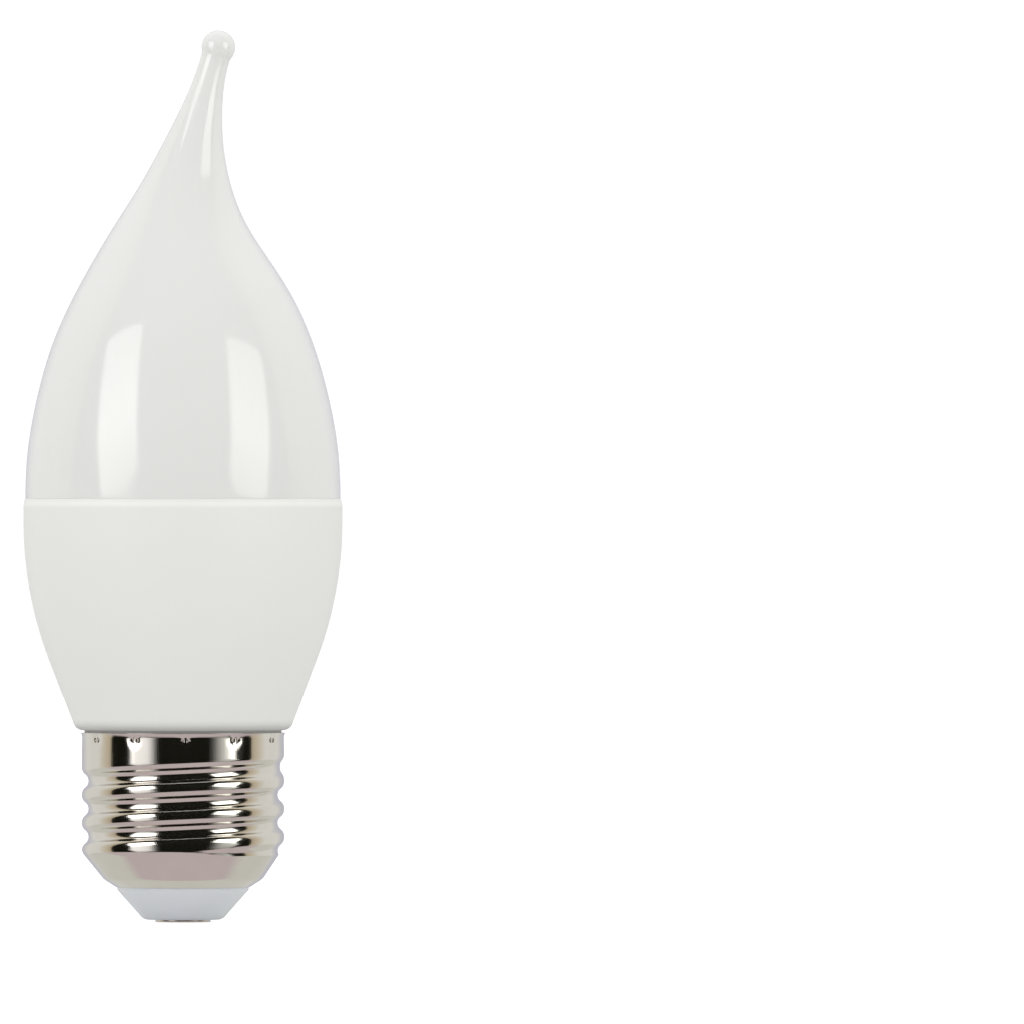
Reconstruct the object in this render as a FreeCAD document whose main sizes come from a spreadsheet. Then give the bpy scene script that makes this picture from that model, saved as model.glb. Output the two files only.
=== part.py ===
import FreeCAD, Part
import math
import os

import Sketcher

# A flame-tip candle lamp on a medium screw base, in millimetres.
# Z runs up the axis, the screw base is down and the flame tip bends towards +X.
# The origin lies on the axis, at the lowest point of the centre contact.

# Driving dimensions: name, value, what it measures. Heights are above the origin, angles in degrees.
SIZES = [
    ("fit_gap", 0.05, "clearance between pieces that slide or screw together"),
    ("housing_rise", 30.1, "from the housing's foot to its rim, where the diffuser sits"),
    ("rim_radius", 20.72, "outside of the housing at its rim, the widest place of the lamp"),
    ("rim_round", 0.45, "rounding of the rim's outer edge"),
    ("rim_wall", 1.5, "wall of the rim round the diffuser's spigot"),
    ("spigot_length", 3.0, "how deep the diffuser's spigot goes into the rim"),
    ("spigot_chamfer", 0.5, "lead-in at the end of the spigot"),
    ("hip_drop", 12.33, "corner between the housing's upright side and its cone, under the rim"),
    ("flank_reach", 9.27, "how far above and below that corner its rounding goes"),
    ("foot_overhang", 0.75, "how far the housing's foot stands out over the screw shell"),
    ("foot_gap", 0.3, "dark line between the shell's upper edge and the foot"),
    ("foot_round", 0.6, "rounding of the foot's outer edge"),
    ("seam_step", 0.25, "how much narrower the diffuser is than the rim"),
    ("skirt_chamfer", 0.15, "chamfer of the diffuser's lower edge"),
    ("step_a", 6.0, "diffuser section a above the seam"),
    ("step_b", 7.0, "diffuser section b above section a"),
    ("step_c", 7.0, "diffuser section c above section b"),
    ("step_d", 7.0, "diffuser section d above section c"),
    ("step_e", 6.0, "diffuser section e above section d"),
    ("step_f", 6.0, "diffuser section f above section e"),
    ("step_g", 6.0, "diffuser section g above section f"),
    ("step_h", 6.0, "diffuser section h above section g"),
    ("neck_step", 5.7, "narrowest place under the ball, above section h"),
    ("inset_a", 0.28, "how much narrower diffuser section a is than its foot, in radius"),
    ("inset_b", 1.49, "how much narrower section b is than the foot"),
    ("inset_c", 3.5, "how much narrower section c is than the foot"),
    ("inset_d", 6.7, "how much narrower section d is than the foot"),
    ("radius_e", 10.12, "radius of diffuser section e"),
    ("radius_f", 6.65, "radius of diffuser section f"),
    ("radius_g", 4.2, "radius of diffuser section g"),
    ("radius_h", 2.55, "radius of diffuser section h"),
    ("neck_radius", 1.87, "radius of the neck under the ball"),
    ("shift_d", -0.03, "sideways place of section d"),
    ("shift_e", -0.3, "sideways place of section e"),
    ("shift_f", 0.42, "sideways place of section f"),
    ("shift_g", 1.35, "sideways place of section g"),
    ("shift_h", 2.63, "sideways place of section h"),
    ("neck_shift", 4.06, "sideways place of the neck"),
    ("lean_f", 6.5, "lean of section f"),
    ("lean_g", 11.5, "lean of section g"),
    ("lean_h", 15.0, "lean of section h"),
    ("neck_lean", 15.6, "lean of the neck"),
    ("ball_bulge", 0.31, "how much larger the radius of the ball is than that of the neck"),
    ("ball_reach", 1.98, "from the neck's narrowest place to the middle of the ball, along the neck"),
    ("ball_blend", 1.2, "rounding between the neck and the ball"),
    ("band_radius", 13.15, "outside of the screw shell, which is also the crest of its thread"),
    ("shell_wall", 0.3, "thickness of the shell's sheet"),
    ("shell_top", 24.6, "upper edge of the shell"),
    ("lip_reach", 0.15, "how far the shell's upper lip stands out"),
    ("lip_height", 0.6, "height of that lip"),
    ("band_height", 1.6, "plain inside of the band, under the shell's upper edge"),
    ("thread_depth", 0.85, "crest to root"),
    ("thread_pitch", 3.629, "seven turns to the inch"),
    ("thread_land", 0.25, "flat left on the crest between two turns of the groove"),
    ("thread_sweep", 1280.0, "angle that the groove goes round the axis"),
    ("thread_finish", 90.0, "angle round the axis where the groove ends, at its top"),
    ("thread_drop", 3.556, "middle of the groove's upper end, under the shell's upper edge"),
    ("fade_in", 120.0, "angle over which the groove reaches its depth"),
    ("fade_out", 150.0, "angle over which the groove runs out"),
    ("shoulder_in", 2.85, "how far the shoulder comes in from the band"),
    ("shoulder_drop", 3.5, "how far the shoulder goes down"),
    ("shoulder_round", 1.2, "rounding between band and shoulder"),
    ("turn_round", 2.0, "rounding between the shoulder and the turned-in lip"),
    ("turn_in", 1.7, "how far the turned-in lip goes in, to the shell's mouth"),
    ("turn_drop", 1.1, "how far the turned-in lip goes down"),
    ("mouth_height", 4.45, "lowest edge of the shell"),
    ("crimp_count", 12, "pairs of crimps round the band"),
    ("crimp_width", 0.4, "width of a crimp"),
    ("crimp_height", 0.6, "height of a crimp"),
    ("crimp_spacing", 0.72, "middle to middle of the two crimps of a pair"),
    ("crimp_drop", 1.0, "middle of the crimps under the shell's upper edge"),
    ("crimp_depth", 0.2, "how far a crimp is pressed in"),
    ("crimp_turn", 1.5, "angle of the first pair from the front"),
    ("plug_rise", 0.6, "top of the insulator, above the inside corner of the shoulder"),
    ("nose_drop", 0.27, "where the insulator starts to narrow, under the shell's mouth"),
    ("nose_land", 1.5, "level end of the insulator outside the contact's head"),
    ("nose_round", 1.3, "rounding of its corner"),
    ("contact_proud", 0.3, "how far the contact stands out of the insulator"),
    ("contact_radius", 3.6, "radius of the contact's head"),
    ("contact_seat", 0.5, "depth of the head's seat in the insulator"),
    ("contact_round", 0.2, "rounding of the head's edge"),
    ("shank_radius", 1.0, "radius of the contact's shank"),
    ("shank_sink", 0.5, "upper end of the shank, under the insulator's top"),
]

# The diffuser's sections above its foot, and which of them are measured from the foot's radius, stand
# to one side of the axis and lean.
SECTIONS = "abcdefgh"
BELLY = "abcd"
SHIFTED = "defgh"
LEANING = "fgh"

# The thread's groove is drawn with short flats. They meet at these shares of each arc's sweep.
CREST_SHARES = (0.0, 0.3, 0.62)
ROOT_SHARES = (-0.66, -0.22, 0.22, 0.66)
# Angle between two sections of the groove, how far its cutter stands out of the crest, and how far
# outside the band its floor has run when the groove ends.
SECTION_STEP = 20.0
CUTTER_PROUD = 0.02
RUN_OUT = 0.12
# How far outside the band a crimp's cutter starts.
CRIMP_START = 1.0
# How many points of an edge are measured when an edge is looked for.
EDGE_POINTS = 7

UP = FreeCAD.Vector(0, 0, 1)

doc = FreeCAD.newDocument("candle_lamp")
sheet = doc.addObject("Spreadsheet::Sheet", "sizes")
for row, (alias, value, meaning) in enumerate(SIZES, start=1):
    sheet.set(f"A{row}", meaning)
    sheet.set(f"B{row}", str(value))
    sheet.setAlias(f"B{row}", alias)
doc.recompute()


def size(name):
    """The number that a cell of the sheet holds."""
    return float(sheet.get(name))


def worked_out(expression):
    """The number that an expression on the sheet gives."""
    value = sheet.evalExpression(expression)
    return float(getattr(value, "Value", value))


def cell(name):
    """How an expression names a cell."""
    return f"sizes.{name}"


def bind(item, **expressions):
    """Tie an object's properties to the sheet. A double underscore in a name stands for a dot."""
    for path, expression in expressions.items():
        item.setExpression(path.replace("__", "."), str(expression))


def origin_item(body, role):
    """A plane or axis of the body's own origin."""
    return next(item for item in body.Origin.OriginFeatures if item.Role == role)


def new_sketch(body, name, role):
    """An empty sketch on one of the body's origin planes."""
    sketch = body.newObject("Sketcher::SketchObject", name)
    sketch.AttachmentSupport = [(origin_item(body, role), "")]
    sketch.MapMode = "FlatFace"
    return sketch


def turn_about_upright(item, angle):
    """Turn an attached item about the Y axis of its plane, by an expression."""
    upright = FreeCAD.Vector(0, 1, 0)
    item.AttachmentOffset = FreeCAD.Placement(FreeCAD.Vector(), FreeCAD.Rotation(upright, 1))
    bind(item, AttachmentOffset__Rotation__Angle=angle)


def hold(sketch, geometry, point, across, up):
    """Fix a point of a sketch at two expressions, each measured from the sketch's origin."""
    for kind, axis, expression in (("DistanceX", -2, across), ("DistanceY", -1, up)):
        if expression == "0":
            sketch.addConstraint(Sketcher.Constraint("PointOnObject", geometry, point, axis))
            continue
        value = worked_out(expression)
        number = sketch.addConstraint(Sketcher.Constraint(kind, -1, 1, geometry, point, value))
        sketch.setExpression(f"Constraints[{number}]", expression)


def rounded_corner(before, corner, after, radius):
    """Where the rounding of a corner starts, peaks and ends."""
    back = (before - corner).normalize()
    ahead = (after - corner).normalize()
    half = back.getAngle(ahead) / 2
    reach = radius / math.tan(half)
    middle = (back + ahead).normalize()
    peak = corner + middle * (radius / math.sin(half) - radius)
    return corner + back * reach, peak, corner + ahead * reach


def outline(sketch, corners):
    """Draw a closed outline. A corner is (across, up) or (across, up, rounding), as expressions."""
    places = [FreeCAD.Vector(worked_out(c[0]), worked_out(c[1]), 0) for c in corners]
    count = len(corners)
    starts = []
    ends = []
    peaks = []
    for i, corner in enumerate(corners):
        start, peak, end = places[i], None, places[i]
        if len(corner) == 3:
            radius = worked_out(corner[2])
            start, peak, end = rounded_corner(places[i - 1], places[i], places[(i + 1) % count], radius)
        starts.append(start)
        peaks.append(peak)
        ends.append(end)
    lines = []
    for i in range(count):
        segment = Part.LineSegment(ends[i], starts[(i + 1) % count])
        lines.append(sketch.addGeometry(segment, False))
    for i, corner in enumerate(corners):
        before, after = lines[i - 1], lines[i]
        if peaks[i] is None:
            sketch.addConstraint(Sketcher.Constraint("Coincident", before, 2, after, 1))
            hold(sketch, after, 1, corner[0], corner[1])
            continue
        turns_left = (peaks[i] - starts[i]).cross(ends[i] - peaks[i]).z > 0
        first, last = (starts[i], ends[i]) if turns_left else (ends[i], starts[i])
        arc = sketch.addGeometry(Part.Arc(first, peaks[i], last), False)
        near = 1 if turns_left else 2
        sketch.addConstraint(Sketcher.Constraint("Tangent", before, 2, arc, near))
        sketch.addConstraint(Sketcher.Constraint("Tangent", after, 1, arc, 3 - near))
        number = sketch.addConstraint(Sketcher.Constraint("Radius", arc, worked_out(corner[2])))
        sketch.setExpression(f"Constraints[{number}]", corner[2])
        vertex = sketch.addGeometry(Part.Point(places[i]), True)
        sketch.addConstraint(Sketcher.Constraint("PointOnObject", vertex, 1, before))
        sketch.addConstraint(Sketcher.Constraint("PointOnObject", vertex, 1, after))
        hold(sketch, vertex, 1, corner[0], corner[1])


def turned(name, corners):
    """A body turned round the Z axis from its outline in the XZ plane."""
    body = doc.addObject("PartDesign::Body", name)
    sketch = new_sketch(body, f"{name}_outline", "XZ_Plane")
    outline(sketch, corners)
    turn = body.newObject("PartDesign::Revolution", f"{name}_turn")
    turn.Profile = sketch
    turn.ReferenceAxis = (sketch, ["V_Axis"])
    turn.Angle = 360
    doc.recompute()
    return body


def disc_sketch(body, name, radius, up):
    """A circle round the Z axis, at a height."""
    sketch = new_sketch(body, name, "XY_Plane")
    bind(sketch, AttachmentOffset__Base__z=up)
    circle = sketch.addGeometry(Part.Circle(FreeCAD.Vector(), UP, worked_out(radius)), False)
    sketch.addConstraint(Sketcher.Constraint("Coincident", circle, 3, -1, 1))
    number = sketch.addConstraint(Sketcher.Constraint("Radius", circle, worked_out(radius)))
    sketch.setExpression(f"Constraints[{number}]", radius)
    return sketch


def round_edge_at(shape, radius, up):
    """The name of the edge that lies nearest to a level circle round the Z axis."""
    misses = []
    for number, edge in enumerate(shape.Edges, start=1):
        if edge.Degenerated:
            continue
        points = edge.discretize(EDGE_POINTS)
        miss = max(abs(math.hypot(point.x, point.y) - radius) + abs(point.z - up) for point in points)
        misses.append((miss, f"Edge{number}"))
    return min(misses)[1]


def crimp_sketch(body, name, spare, distance):
    """Two upright rectangles facing out at the first pair of crimps, in a plane this far from the axis."""
    sketch = new_sketch(body, name, "XZ_Plane")
    turn = cell("crimp_turn")
    turn_about_upright(sketch, turn)
    bind(sketch, AttachmentOffset__Base__x=f"({distance}) * sin({turn})")
    bind(sketch, AttachmentOffset__Base__z=f"({distance}) * cos({turn})")
    half_width = f"(sizes.crimp_width / 2 + {spare})"
    half_height = f"(sizes.crimp_height / 2 + {spare})"
    up = "(sizes.shell_top - sizes.crimp_drop)"
    for side in ("-", "+"):
        middle = f"(0 {side} sizes.crimp_spacing / 2)"
        outline(
            sketch,
            [
                (f"{middle} - {half_width}", f"{up} - {half_height}"),
                (f"{middle} + {half_width}", f"{up} - {half_height}"),
                (f"{middle} + {half_width}", f"{up} + {half_height}"),
                (f"{middle} - {half_width}", f"{up} + {half_height}"),
            ],
        )
    return sketch


def crimp_ring(body, name, kind, spare, distance, length):
    """A pad or pocket at each crimp, repeated round the axis."""
    sketch = crimp_sketch(body, f"{name}_sketch", spare, distance)
    feature = body.newObject(kind, name)
    feature.Profile = sketch
    bind(feature, Length=length)
    doc.recompute()
    ring = body.newObject("PartDesign::PolarPattern", f"{name}_ring")
    ring.Originals = [feature]
    ring.Axis = (origin_item(body, "Z_Axis"), [""])
    ring.Angle = 360
    bind(ring, Occurrences=cell("crimp_count"))
    body.Tip = ring
    doc.recompute()


# Places that several pieces share, as expressions on the sheet.
FOOT = "(sizes.shell_top + sizes.foot_gap)"
SEAM = "(sizes.shell_top + sizes.foot_gap + sizes.housing_rise)"
BAND_BORE = "(sizes.band_radius - sizes.shell_wall)"
ROOT_BORE = "(sizes.band_radius - sizes.thread_depth - sizes.shell_wall)"
STEP_TOP = "(sizes.shell_top - sizes.band_height)"
STEP_FOOT = f"({STEP_TOP} - sizes.thread_depth)"
SHOULDER = "(sizes.mouth_height + sizes.turn_drop + sizes.shoulder_drop)"
SHOULDER_LEAN = "atan(sizes.shoulder_in / sizes.shoulder_drop)"
LIP_LEAN = "atan(sizes.turn_drop / sizes.turn_in)"
TURN_ACROSS = "(sizes.band_radius - sizes.shoulder_in)"
TURN_UP = "(sizes.mouth_height + sizes.turn_drop)"
MOUTH = "(sizes.band_radius - sizes.shoulder_in - sizes.turn_in)"


def inside_turn(depth):
    """The corner between shoulder and lip, moved this deep into the shell."""
    spread = f"(1 + sin({SHOULDER_LEAN} + {LIP_LEAN}))"
    across = f"{TURN_ACROSS} - ({depth}) * (cos({SHOULDER_LEAN}) + sin({LIP_LEAN})) / {spread}"
    up = f"{TURN_UP} + ({depth}) * (sin({SHOULDER_LEAN}) + cos({LIP_LEAN})) / {spread}"
    return across, up


def inside_shoulder(depth, across):
    """The height of the shoulder, moved this deep into the shell, at a radius."""
    inner = f"(sizes.band_radius - ({depth}) / cos({SHOULDER_LEAN}))"
    return f"({SHOULDER} - ({inner} - {across}) / tan({SHOULDER_LEAN}))"


def inside_lip(depth, across):
    """The height of the turned-in lip, moved this deep into the shell, at a radius."""
    return f"sizes.mouth_height + ({across} - {MOUTH}) * tan({LIP_LEAN}) + ({depth}) / cos({LIP_LEAN})"


PLUG = f"({inside_shoulder('sizes.shell_wall', ROOT_BORE)} + sizes.plug_rise)"


def tip_sketch(body, up):
    """Half of the neck's end and the ball, with the blend between them, drawn along the neck's lean."""
    sketch = new_sketch(body, "tip_outline", "XZ_Plane")
    sketch.AttachmentOffset = FreeCAD.Placement(FreeCAD.Vector(), FreeCAD.Rotation(-UP, 1))
    bind(sketch, AttachmentOffset__Rotation__Angle="sizes.neck_lean")
    bind(sketch, AttachmentOffset__Base__x="sizes.neck_shift", AttachmentOffset__Base__y=up)
    neck, blend, reach = size("neck_radius"), size("ball_blend"), size("ball_reach")
    ball = neck + size("ball_bulge")
    turn = FreeCAD.Vector(neck + blend, reach - math.sqrt((ball + blend) ** 2 - (neck + blend) ** 2), 0)
    middle = FreeCAD.Vector(0, reach, 0)
    side = FreeCAD.Vector(neck, 0, 0)
    foot = FreeCAD.Vector(neck, turn.y, 0)
    touch = middle + (turn - middle) * (ball / (ball + blend))
    top = FreeCAD.Vector(0, reach + ball, 0)
    base_line = sketch.addGeometry(Part.LineSegment(FreeCAD.Vector(), side), False)
    side_line = sketch.addGeometry(Part.LineSegment(side, foot), False)
    waist = turn + ((foot + touch) / 2 - turn).normalize() * blend
    blend_arc = sketch.addGeometry(Part.Arc(foot, waist, touch), False)
    belly = middle + ((touch + top) / 2 - middle).normalize() * ball
    ball_arc = sketch.addGeometry(Part.Arc(touch, belly, top), False)
    axis_line = sketch.addGeometry(Part.LineSegment(top, FreeCAD.Vector()), False)
    # An arc runs from its point 1 to its point 2 anticlockwise, so the blend's run from the ball.
    for rule in (
        ("Coincident", base_line, 1, -1, 1),
        ("Horizontal", base_line),
        ("Coincident", base_line, 2, side_line, 1),
        ("Tangent", side_line, 2, blend_arc, 2),
        ("Tangent", blend_arc, 1, ball_arc, 1),
        ("PointOnObject", ball_arc, 3, -2),
        ("Coincident", ball_arc, 2, axis_line, 1),
        ("Coincident", axis_line, 2, -1, 1),
        ("Vertical", axis_line),
    ):
        sketch.addConstraint(Sketcher.Constraint(*rule))
    for rule, expression in (
        (("DistanceX", -1, 1, side_line, 1), "sizes.neck_radius"),
        (("Radius", blend_arc), "sizes.ball_blend"),
        (("Radius", ball_arc), "sizes.neck_radius + sizes.ball_bulge"),
        (("DistanceY", -1, 1, ball_arc, 3), "sizes.ball_reach"),
    ):
        number = sketch.addConstraint(Sketcher.Constraint(*rule, worked_out(expression)))
        sketch.setExpression(f"Constraints[{number}]", expression)
    return sketch


def make_diffuser():
    """A moulded flame-shaped cover: round sections along a bent axis, a ball at the tip, a spigot below."""
    body = doc.addObject("PartDesign::Body", "diffuser")
    skirt_radius = "(sizes.rim_radius - sizes.seam_step)"
    sketches = [disc_sketch(body, "flame_section_foot", skirt_radius, SEAM)]
    up = SEAM
    for letter in SECTIONS:
        up += f" + sizes.step_{letter}"
        radius = f"({skirt_radius} - sizes.inset_{letter})" if letter in BELLY else cell(f"radius_{letter}")
        sketch = disc_sketch(body, f"flame_section_{letter}", radius, up)
        if letter in LEANING:
            turn_about_upright(sketch, cell(f"lean_{letter}"))
            bind(sketch, AttachmentOffset__Base__z=up)
        if letter in SHIFTED:
            bind(sketch, AttachmentOffset__Base__x=cell(f"shift_{letter}"))
        sketches.append(sketch)
    up += " + sizes.neck_step"
    neck = disc_sketch(body, "flame_section_neck", "sizes.neck_radius", up)
    turn_about_upright(neck, "sizes.neck_lean")
    bind(neck, AttachmentOffset__Base__z=up, AttachmentOffset__Base__x="sizes.neck_shift")
    sketches.append(neck)
    doc.recompute()
    flame = body.newObject("PartDesign::AdditiveLoft", "flame")
    flame.Profile = sketches[0]
    flame.Sections = sketches[1:]
    doc.recompute()
    tip = body.newObject("PartDesign::Revolution", "tip")
    tip.Profile = tip_sketch(body, up)
    tip.ReferenceAxis = (tip.Profile[0], ["V_Axis"])
    tip.Angle = 360
    doc.recompute()
    skirt = body.newObject("PartDesign::Chamfer", "skirt_edge")
    skirt.Base = (tip, [round_edge_at(tip.Shape, worked_out(skirt_radius), worked_out(SEAM))])
    bind(skirt, Size="sizes.skirt_chamfer")
    doc.recompute()
    spigot_radius = "(sizes.rim_radius - sizes.rim_wall - sizes.fit_gap)"
    spigot = body.newObject("PartDesign::Pad", "spigot")
    spigot.Profile = disc_sketch(body, "spigot_sketch", spigot_radius, SEAM)
    spigot.Reversed = True
    bind(spigot, Length="sizes.spigot_length")
    doc.recompute()
    lead = body.newObject("PartDesign::Chamfer", "spigot_lead")
    spigot_end = worked_out(f"{SEAM} - sizes.spigot_length")
    lead.Base = (spigot, [round_edge_at(spigot.Shape, worked_out(spigot_radius), spigot_end)])
    bind(lead, Size="sizes.spigot_chamfer")
    body.Tip = lead
    return body


def make_housing():
    """A moulded cup: a recessed rim, a curved flank and cone, and a neck that fills the screw shell."""
    recess = "sizes.rim_radius - sizes.rim_wall"
    recess_floor = f"{SEAM} - sizes.spigot_length - sizes.fit_gap"
    foot_radius = "(sizes.band_radius + sizes.foot_overhang)"
    hip = f"({SEAM} - sizes.hip_drop)"
    cone_lean = f"atan((sizes.rim_radius - {foot_radius}) / ({hip} - {FOOT}))"
    body = turned(
        "housing",
        [
            ("0", PLUG),
            (f"{ROOT_BORE} - sizes.fit_gap", PLUG),
            (f"{ROOT_BORE} - sizes.fit_gap", STEP_FOOT),
            (f"{BAND_BORE} - sizes.fit_gap", STEP_TOP),
            (f"{BAND_BORE} - sizes.fit_gap", FOOT),
            (foot_radius, FOOT, "sizes.foot_round"),
            ("sizes.rim_radius", hip, f"sizes.flank_reach / tan({cone_lean} / 2)"),
            ("sizes.rim_radius", SEAM, "sizes.rim_round"),
            (recess, SEAM),
            (recess, recess_floor),
            ("0", recess_floor),
        ],
    )
    reach = f"({BAND_BORE} + {CRIMP_START})"
    depth = f"{CRIMP_START} + sizes.crimp_depth + 2 * sizes.fit_gap"
    crimp_ring(body, "crimp_socket", "PartDesign::Pocket", "sizes.fit_gap", reach, depth)
    return body


def thread_profile():
    """The groove across its run, as (outwards, up) from its floor: short flats round its four arcs."""
    half = (size("thread_pitch") - size("thread_land")) / 2
    depth = size("thread_depth")
    curve = (half * half + depth * depth) / (4 * depth)
    sweep = math.acos(1 - depth / (2 * curve))
    crest = [share * sweep for share in CREST_SHARES]
    root = [share * sweep for share in ROOT_SHARES]
    lower = [(depth - curve * (1 - math.cos(a)), curve * math.sin(a) - half) for a in crest]
    floor = [(curve * (1 - math.cos(a)), curve * math.sin(a)) for a in root]
    slope = (lower[1][1] - lower[0][1]) / (lower[0][0] - lower[1][0])
    edge = half + CUTTER_PROUD * slope
    lower[0] = (depth + CUTTER_PROUD, -edge)
    upper = [(out, -up) for out, up in reversed(lower)]
    return lower + floor + upper + [(2 * depth, edge), (2 * depth, -edge)]


def eased(share):
    """A rise from 0 to 1 that starts and ends gently."""
    share = max(0.0, min(1.0, share))
    return share * share * (3 - 2 * share)


def thread_section(sweep, profile):
    """The cutter's outline where this much of its sweep is done. The groove is full between its two fades."""
    left = size("thread_sweep") - sweep
    fade = min(eased(sweep / size("fade_in")), eased(left / size("fade_out")))
    floor = size("band_radius") - size("thread_depth") * fade + RUN_OUT * (1 - fade)
    angle = math.radians(size("thread_finish") - left)
    outside = FreeCAD.Vector(math.cos(angle), math.sin(angle), 0)
    height = size("shell_top") - size("thread_drop") - size("thread_pitch") * left / 360
    middle = outside * floor + UP * height
    corners = [middle + outside * out + UP * rise for out, rise in profile]
    return Part.makePolygon(corners + corners[:1])


def make_thread_cutter():
    """The rolled groove between the thread's crests, lofted along its helix."""
    steps = math.ceil(size("thread_sweep") / SECTION_STEP)
    profile = thread_profile()
    wires = [thread_section(size("thread_sweep") * i / steps, profile) for i in range(steps + 1)]
    cutter = doc.addObject("Part::Feature", "thread_cutter")
    cutter.Shape = Part.makeLoft(wires, True, False)
    return cutter


def make_screw_shell():
    """A rolled sheet cup: a lip, a crimped band, the thread's sleeve and a turned-in shoulder."""
    wall = "sizes.shell_wall"
    turn_across, turn_up = inside_turn(wall)
    blank = turned(
        "shell_blank",
        [
            (BAND_BORE, "sizes.shell_top"),
            (BAND_BORE, STEP_TOP),
            (ROOT_BORE, STEP_FOOT),
            (ROOT_BORE, inside_shoulder(wall, ROOT_BORE)),
            (turn_across, turn_up, f"sizes.turn_round - {wall}"),
            (MOUTH, inside_lip(wall, MOUTH)),
            (MOUTH, "sizes.mouth_height"),
            (TURN_ACROSS, TURN_UP, "sizes.turn_round"),
            ("sizes.band_radius", SHOULDER, "sizes.shoulder_round"),
            ("sizes.band_radius", "sizes.shell_top - sizes.lip_height"),
            ("sizes.band_radius + sizes.lip_reach", "sizes.shell_top - sizes.lip_height + sizes.lip_reach"),
            ("sizes.band_radius + sizes.lip_reach", "sizes.shell_top"),
        ],
    )
    reach = f"(sizes.band_radius + {CRIMP_START})"
    crimp_ring(blank, "crimp_dent", "PartDesign::Pocket", "0", reach, f"{CRIMP_START} + sizes.crimp_depth")
    tip = f"({BAND_BORE} - sizes.crimp_depth)"
    crimp_ring(blank, "crimp_nub", "PartDesign::Pad", "0", tip, "sizes.crimp_depth + sizes.shell_wall / 2")
    shell = doc.addObject("Part::Cut", "screw_shell")
    shell.Base = blank
    shell.Tool = make_thread_cutter()
    return shell


def make_insulator():
    """A moulded plug that lines the shoulder, fills the shell's mouth and holds the contact."""
    gap = "sizes.fit_gap"
    depth = "(sizes.shell_wall + sizes.fit_gap)"
    top_radius = f"({ROOT_BORE} - {gap})"
    throat = f"({MOUTH} - {gap})"
    turn_across, turn_up = inside_turn(depth)
    hole = f"sizes.shank_radius + {gap}"
    seat = f"sizes.contact_radius + {gap}"
    seat_floor = "sizes.contact_proud + sizes.contact_seat"
    return turned(
        "base_insulator",
        [
            (hole, seat_floor),
            (seat, seat_floor),
            (seat, "sizes.contact_proud"),
            ("sizes.contact_radius + sizes.nose_land", "sizes.contact_proud", "sizes.nose_round"),
            (throat, "sizes.mouth_height - sizes.nose_drop"),
            (throat, inside_lip(depth, throat)),
            (turn_across, turn_up, f"sizes.turn_round - {depth}"),
            (top_radius, inside_shoulder(depth, top_radius)),
            (top_radius, PLUG),
            (hole, PLUG),
        ],
    )


def make_contact():
    """A headed pin: its head is the centre contact and its shank goes up through the insulator."""
    head_top = "sizes.contact_proud + sizes.contact_seat"
    shank_top = f"{PLUG} - sizes.shank_sink"
    return turned(
        "centre_contact",
        [
            ("0", "0"),
            ("sizes.contact_radius", "0", "sizes.contact_round"),
            ("sizes.contact_radius", head_top),
            ("sizes.shank_radius", head_top),
            ("sizes.shank_radius", shank_top),
            ("0", shank_top),
        ],
    )


def check_and_write(pieces):
    """Stop on a failed feature or a bad shape, then write each piece to its own file."""
    doc.recompute()
    for item in doc.Objects:
        if "Invalid" in item.State or "Error" in item.State:
            raise SystemExit(f"{item.Name} failed: {item.State}")
    os.makedirs("parts", exist_ok=True)
    for piece in pieces:
        shape = piece.Shape
        if shape.isNull() or not shape.isValid() or len(shape.Solids) != 1:
            raise SystemExit(f"{piece.Label} is not one valid solid")
        shape.exportStep(f"parts/{piece.Label}.step")
        box = shape.BoundBox
        print(f"{piece.Label}: {shape.Volume:.1f} mm3, z {box.ZMin:.2f} to {box.ZMax:.2f}")


check_and_write([make_diffuser(), make_housing(), make_screw_shell(), make_insulator(), make_contact()])
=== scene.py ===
import math

import bpy
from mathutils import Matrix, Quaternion, Vector


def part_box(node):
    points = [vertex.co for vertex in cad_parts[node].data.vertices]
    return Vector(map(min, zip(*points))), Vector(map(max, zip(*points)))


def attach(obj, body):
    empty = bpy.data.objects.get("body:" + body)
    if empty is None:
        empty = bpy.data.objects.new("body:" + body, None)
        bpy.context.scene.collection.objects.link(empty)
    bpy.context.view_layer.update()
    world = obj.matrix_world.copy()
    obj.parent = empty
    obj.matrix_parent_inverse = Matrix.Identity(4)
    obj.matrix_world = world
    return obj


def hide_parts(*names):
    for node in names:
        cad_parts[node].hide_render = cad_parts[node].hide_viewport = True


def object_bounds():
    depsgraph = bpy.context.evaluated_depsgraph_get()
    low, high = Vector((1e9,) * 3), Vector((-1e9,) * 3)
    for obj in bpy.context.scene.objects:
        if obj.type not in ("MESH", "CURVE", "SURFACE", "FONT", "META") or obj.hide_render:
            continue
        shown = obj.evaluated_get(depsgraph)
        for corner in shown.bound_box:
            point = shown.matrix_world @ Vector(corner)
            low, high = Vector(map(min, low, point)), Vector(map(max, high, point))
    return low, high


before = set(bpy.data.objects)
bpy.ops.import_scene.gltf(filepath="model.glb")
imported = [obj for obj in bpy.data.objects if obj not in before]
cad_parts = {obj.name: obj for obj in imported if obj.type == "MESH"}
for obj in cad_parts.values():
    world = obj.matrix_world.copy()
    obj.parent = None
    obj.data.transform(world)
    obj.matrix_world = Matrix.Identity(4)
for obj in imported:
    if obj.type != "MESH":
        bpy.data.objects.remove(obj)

cad_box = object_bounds()

# The centre contact is a headed pin of nickel-plated brass, turned and then pressed up through the insulator.
# Its head is the lamp's lowest point and touches the spring at the bottom of a lamp holder.

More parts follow.
